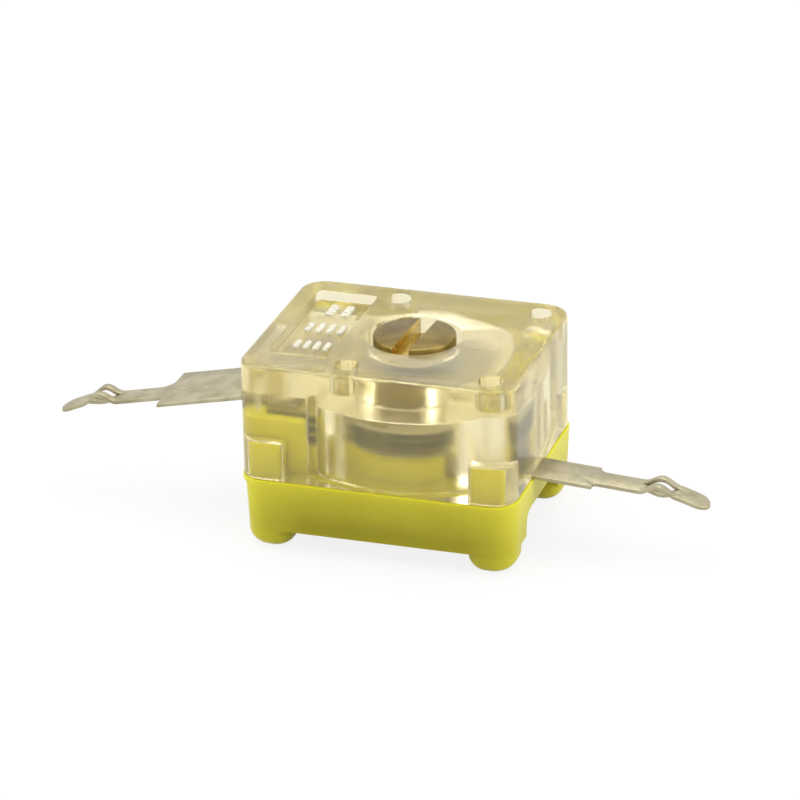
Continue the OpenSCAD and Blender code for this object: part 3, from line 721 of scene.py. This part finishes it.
def make_marks(material):
    """Three rows of plain raised bars on the floor of the recess."""
    # Place of each row along Y, length, width and number of its bars
    rows = ((2.25, 1.00, 0.34, 2), (0.48, 0.80, 0.24, 4), (-1.18, 0.70, 0.22, 4))
    pitch, height, edge = 1.8, 0.12, 0.05      # pitch in widths of a bar
    middle = (RECESS_X[0] + RECESS_X[1]) / 2
    floor = Z_TOP - RECESS_DEPTH
    verts, faces = [], []
    for y, length, width, count in rows:
        for k in range(count):
            x = middle + (k - (count - 1) / 2) * width * pitch
            bar = pad(lambda grow: rect_between(x - width / 2, x + width / 2, y - length / 2,
                                                y + length / 2, 0.1, grow, 3),
                      floor + HAIR / 2, floor + height, edge)
            first = len(verts)
            verts += [v.co / MM for v in bar.data.vertices]
            faces += [tuple(first + i for i in p.vertices) for p in bar.data.polygons]
            bpy.data.objects.remove(bar)
    marks = smooth(new_object("marking_bars", verts, faces), 60)
    place(marks, "housing", material)


# ---- camera, light and floor ----------------------------------------------------------

AZIMUTH, ELEVATION, ROLL = 17.6305, 23.3177, -0.937   # degrees
FOCAL_PX = 4150.19
TARGET_PX = (414.628, 335.440)                        # where (0, 0, Z_TOP) lands
PX_PER_MM = 26.33                                     # at that point
IMAGE_PX = 800.0
SENSOR_MM = 36.0
LIGHT_ON_OBJECT = 0.66                                # strength of the world
FLOOR_GLOW = 0.85                                     # share of white in the floor, as seen
FLOOR_HALF = 400.0
LAMP_AIM = (0, 0, 4)                                  # middle of the object


def add_camera():
    """Camera at the photograph's viewing angle and framing."""
    a, e, r = (math.radians(v) for v in (AZIMUTH, ELEVATION, ROLL))
    right = Vector((math.cos(a), math.sin(a), 0))
    look = Vector((-math.sin(a) * math.cos(e), math.cos(a) * math.cos(e), -math.sin(e)))
    up = right.cross(look)
    turn = Matrix.Rotation(-r, 3, look)
    right, up = turn @ right, turn @ up
    data = bpy.data.cameras.new("photo_camera")
    data.sensor_width = SENSOR_MM
    data.sensor_fit = "HORIZONTAL"
    data.lens = SENSOR_MM * FOCAL_PX / IMAGE_PX
    data.shift_x = (IMAGE_PX / 2 - TARGET_PX[0]) / IMAGE_PX
    data.shift_y = (TARGET_PX[1] - IMAGE_PX / 2) / IMAGE_PX
    data.clip_start = 0.01
    data.clip_end = 10.0
    camera = bpy.data.objects.new("photo_camera", data)
    bpy.context.scene.collection.objects.link(camera)
    distance = FOCAL_PX / PX_PER_MM * MM
    spot = Vector((0, 0, Z_TOP * MM)) - look * distance
    camera.matrix_world = Matrix((
        (right.x, up.x, -look.x, spot.x), (right.y, up.y, -look.y, spot.y),
        (right.z, up.z, -look.z, spot.z), (0, 0, 0, 1)))
    bpy.context.scene.camera = camera


def seen_fraction(tree):
    """1 for camera, glossy and transmission rays, 0 for the light on the object."""
    path = tree.nodes.new("ShaderNodeLightPath")
    first = tree.nodes.new("ShaderNodeMath")
    first.operation = "MAXIMUM"
    second = tree.nodes.new("ShaderNodeMath")
    second.operation = "MAXIMUM"
    tree.links.new(path.outputs["Is Camera Ray"], first.inputs[0])
    tree.links.new(path.outputs["Is Glossy Ray"], first.inputs[1])
    tree.links.new(first.outputs[0], second.inputs[0])
    tree.links.new(path.outputs["Is Transmission Ray"], second.inputs[1])
    return second.outputs[0]


def add_world():
    """Even light on the object, in front of a white background."""
    world = bpy.data.worlds.new("studio")
    bpy.context.scene.world = world
    world.use_nodes = True
    tree = world.node_tree
    light = tree.nodes["Background"]
    white = tree.nodes.new("ShaderNodeBackground")
    for node, strength in ((light, LIGHT_ON_OBJECT), (white, 1.0)):
        node.inputs["Color"].default_value = (1, 1, 1, 1)
        node.inputs["Strength"].default_value = strength
    both = tree.nodes.new("ShaderNodeMixShader")
    tree.links.new(seen_fraction(tree), both.inputs["Fac"])
    tree.links.new(light.outputs[0], both.inputs[1])
    tree.links.new(white.outputs[0], both.inputs[2])
    tree.links.new(both.outputs[0], tree.nodes["World Output"].inputs["Surface"])


def add_floor():
    """Plain pale floor that keeps the object's shadow."""
    corners = [(sx * FLOOR_HALF, sy * FLOOR_HALF, 0) for sx, sy in
               ((-1, -1), (1, -1), (1, 1), (-1, 1))]
    floor = new_object("studio_floor", corners, [(0, 1, 2, 3)])
    material = bpy.data.materials.new("studio_floor")
    material.use_nodes = True
    tree = material.node_tree
    shader = tree.nodes["Principled BSDF"]
    shader.inputs["Base Color"].default_value = (0.80, 0.80, 0.79, 1)
    shader.inputs["Roughness"].default_value = 1.0
    shader.inputs["Specular IOR Level"].default_value = 0.0
    glow = tree.nodes.new("ShaderNodeEmission")
    glow.inputs["Color"].default_value = (1, 1, 1, 1)
    glow.inputs["Strength"].default_value = 1.0
    share = tree.nodes.new("ShaderNodeMath")
    share.operation = "MULTIPLY"
    share.inputs[1].default_value = FLOOR_GLOW
    tree.links.new(seen_fraction(tree), share.inputs[0])
    both = tree.nodes.new("ShaderNodeMixShader")
    tree.links.new(share.outputs[0], both.inputs["Fac"])
    tree.links.new(shader.outputs[0], both.inputs[1])
    tree.links.new(glow.outputs[0], both.inputs[2])
    tree.links.new(both.outputs[0], tree.nodes["Material Output"].inputs["Surface"])
    floor.data.materials.append(material)


def add_lamp(name, place_mm, size_mm, watts):
    """Rectangular soft lamp turned towards the object."""
    data = bpy.data.lights.new(name, "AREA")
    data.shape = "RECTANGLE"
    data.size, data.size_y = (v * MM for v in size_mm)
    data.energy = watts
    lamp = bpy.data.objects.new(name, data)
    bpy.context.scene.collection.objects.link(lamp)
    spot = Vector(place_mm) * MM
    lamp.location = spot
    aim = Vector(LAMP_AIM) * MM - spot
    lamp.rotation_euler = aim.to_track_quat("-Z", "Y").to_euler()


# ---- the whole -----------------------------------------------------------------------

def dress_nodes(materials):
    """Gives each CAD node its slot's material, and breaks the edges of the metal ones."""
    slots = {part["node"]: part["material_slot"] for part in frame["record"]["subparts"]}
    looks = dict(slots)
    # The films between the vanes are clearer and darker than the outer two, as painted shade
    # between the vanes
    looks.update(("dielectric_film_%d" % i, "shaded_inner_film") for i in range(2, 6))
    for node, obj in frame["nodes"].items():
        obj.data.materials.clear()
        obj.data.materials.append(materials[looks[node]])
        if slots[node] in ("vane_metal", "tinned_metal", "brass"):
            bevel(obj, 0.015, 60)


def make_materials():
    """The material of each slot, and of the inner films."""
    return {
        "yellow_plastic": yellow_plastic(),
        "clear_plastic": clear_plastic(),
        "brass": brass(),
        "vane_metal": sheet_metal("vane_metal", (0.40, 0.345, 0.085), (0.54, 0.47, 0.125),
                                  (0.42, 0.54), metallic=0.4),
        # The outer films are painted whiter, as painted light on their rims; the inner films
        # darker, as painted shade
        "film": film("film", 0.72, 1.40, (0.92, 0.88, 0.70), (0.97, 0.94, 0.80)),
        "shaded_inner_film": film("shaded_inner_film", 0.95, 1.12, (0.50, 0.47, 0.36), (0.58, 0.55, 0.43)),
        "tinned_metal": sheet_metal("tinned_metal", (0.36, 0.322, 0.200), (0.50, 0.452, 0.305),
                                    (0.34, 0.48)),
        "spring_bronze": brass("spring_bronze", (0.40, 0.26, 0.10), (0.55, 0.38, 0.16)),
    }


def main():
    materials = make_materials()
    tin = materials["tinned_metal"]
    dress_nodes(materials)
    make_cover(materials["clear_plastic"])
    make_marks(frosted_plastic())
    make_base(materials["yellow_plastic"])
    make_rotor(materials["brass"], cut_brass())
    make_pin("rivet_front", -PIN_Y, tin, "stator_pin_front")
    make_pin("rivet_back", PIN_Y, tin, "stator_pin_back")
    make_tag("stator_tag", "stator_terminal", tin)
    make_tag("rotor_tag", "rotor_terminal", tin)
    add_camera()
    add_world()
    add_floor()
    add_lamp("top_softbox", (-40, 40, 320), (320, 260), 0.75)
    add_lamp("left_softbox", (-290, -120, 140), (200, 220), 0.36)
    add_lamp("right_softbox", (300, 0, 130), (200, 220), 0.50)
    scene = bpy.context.scene
    scene.view_settings.view_transform = "Standard"
    # Rays cross the cover and the films many times
    scene.cycles.max_bounces = 40
    scene.cycles.transmission_bounces = 40
    scene.cycles.glossy_bounces = 12
    scene.cycles.diffuse_bounces = 8


main()
